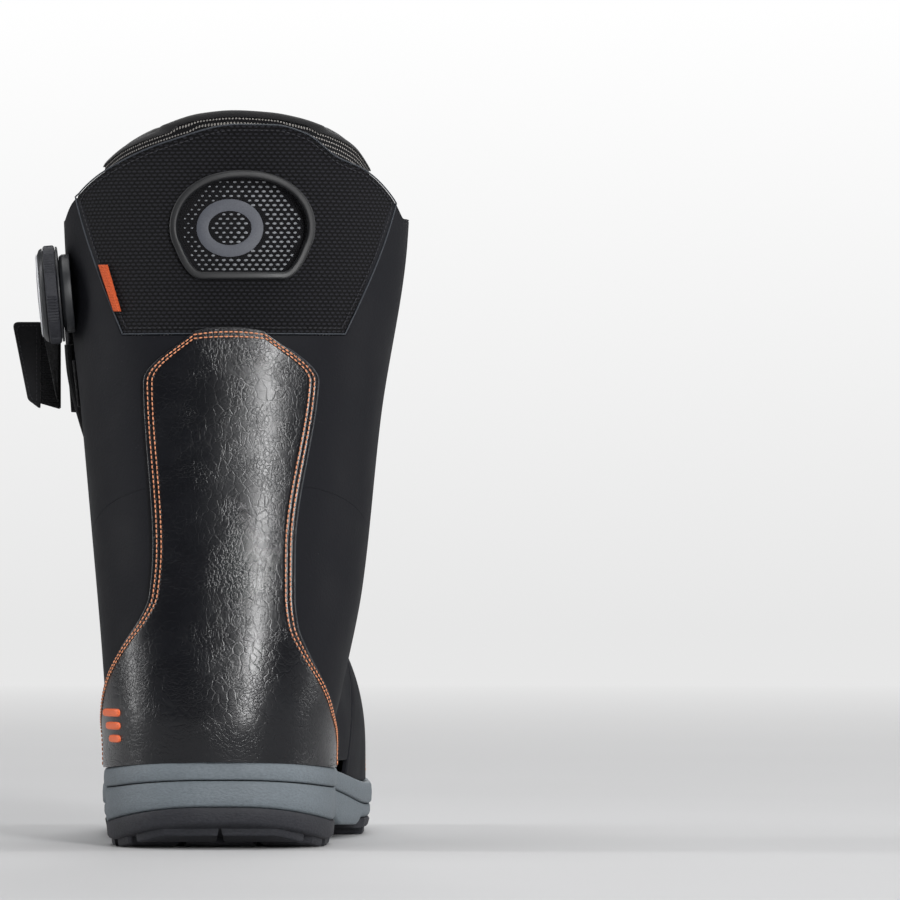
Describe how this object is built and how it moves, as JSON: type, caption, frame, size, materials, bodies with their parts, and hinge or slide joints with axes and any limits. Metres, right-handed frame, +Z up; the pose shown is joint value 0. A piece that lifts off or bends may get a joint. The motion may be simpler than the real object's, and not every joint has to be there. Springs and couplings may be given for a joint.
{
  "type": "snowboard boot",
  "caption": "Left snowboard boot with a side lace dial, calf window, ankle strap, folding tongue and padded inner boot.",
  "frame": {"origin": "on the floor under the middle of the heel, on the heel outsole's flat underside", "axes": "+Y points from heel to toe, +X to the inner side of the foot, +Z up"},
  "size_m": [0.1625, 0.3066, 0.298],
  "materials": {
    "shell_leather": "matte",
    "gloss_leather": "semi-gloss",
    "mesh_fabric": "woven",
    "liner_foam": "soft",
    "sole_rubber": "pebbled",
    "outsole_rubber": "matte",
    "plastic": "matte",
    "webbing": "woven",
    "orange_fabric": "woven",
    "steel": "brushed",
    "foam": "soft",
    "board": "matte"
  },
  "bodies": {
    "shell": {"outsole_heel": "outsole_rubber", "outsole_forefoot": "outsole_rubber", "midsole": "sole_rubber", "heel_crash_pad": "foam", "shank_plate": "steel", "sole_rim": "sole_rubber", "lasting_board": "board", "lateral_cuff_quarter": "shell_leather", "medial_cuff_quarter": "shell_leather", "lateral_foot_quarter": "shell_leather", "medial_foot_quarter": "shell_leather", "calf_mesh_panel": "mesh_fabric", "window_gasket": "plastic", "backstay": "gloss_leather", "lateral_eyestay": "shell_leather", "medial_eyestay": "shell_leather", "vamp": "shell_leather", "toe_cap": "gloss_leather", "heel_counter": "plastic", "side_label": "orange_fabric", "lateral_gusset": "mesh_fabric", "medial_gusset": "mesh_fabric", "throat_lining": "mesh_fabric", "strap_loop_patch": "mesh_fabric", "lace": "steel", "lateral_guide_one": "plastic", "medial_guide_one": "plastic", "medial_guide_two": "plastic", "lateral_guide_two": "plastic", "lateral_guide_three": "plastic", "medial_guide_three": "plastic", "medial_guide_four": "plastic", "lateral_guide_four": "plastic", "upper_lace_sleeve": "webbing", "lower_lace_sleeve": "webbing", "dial_base": "plastic", "liner_shell": "liner_foam", "liner_collar": "liner_foam", "footbed": "foam"},
    "tongue": {"tongue_shell": "shell_leather", "tongue_pad": "foam", "liner_tongue": "liner_foam", "tongue_pull_loop": "webbing", "strap_band": "webbing", "strap_keeper": "plastic", "strap_front_patch": "plastic"},
    "strap_end": {"strap_tab": "webbing", "strap_hook_patch": "mesh_fabric", "strap_end_tab": "plastic"},
    "spool": {"dial_spool": "plastic"},
    "knob": {"dial_knob": "plastic", "dial_grip": "outsole_rubber", "dial_cap": "steel", "dial_screw": "steel", "dial_pawl_ring": "steel"}
  },
  "joints": [
    {"name": "dial_spin", "type": "hinge", "parent": "shell", "child": "spool", "pos_m": [-0.06248, 0.02, 0.22383], "axis": [-0.9962, 0, -0.0872], "continuous": true},
    {"name": "dial_pull", "type": "slide", "parent": "spool", "child": "knob", "axis": [-0.9962, 0, -0.0872], "range_m": [0, 0.003]},
    {"name": "tongue_fold", "type": "hinge", "parent": "shell", "child": "tongue", "pos_m": [0.0068, 0.1428, 0.0984], "axis": [-1, 0, 0], "range_deg": [0, 25], "stiffness_Nm_per_rad": 1.2, "deforming": ["lace", "lateral_gusset", "medial_gusset"]},
    {"name": "strap_swing", "type": "hinge", "parent": "tongue", "child": "strap_end", "pos_m": [-0.0618, 0.0676, 0.195], "axis": [0, 0, 1], "range_deg": [-40, 60]}
  ]
}
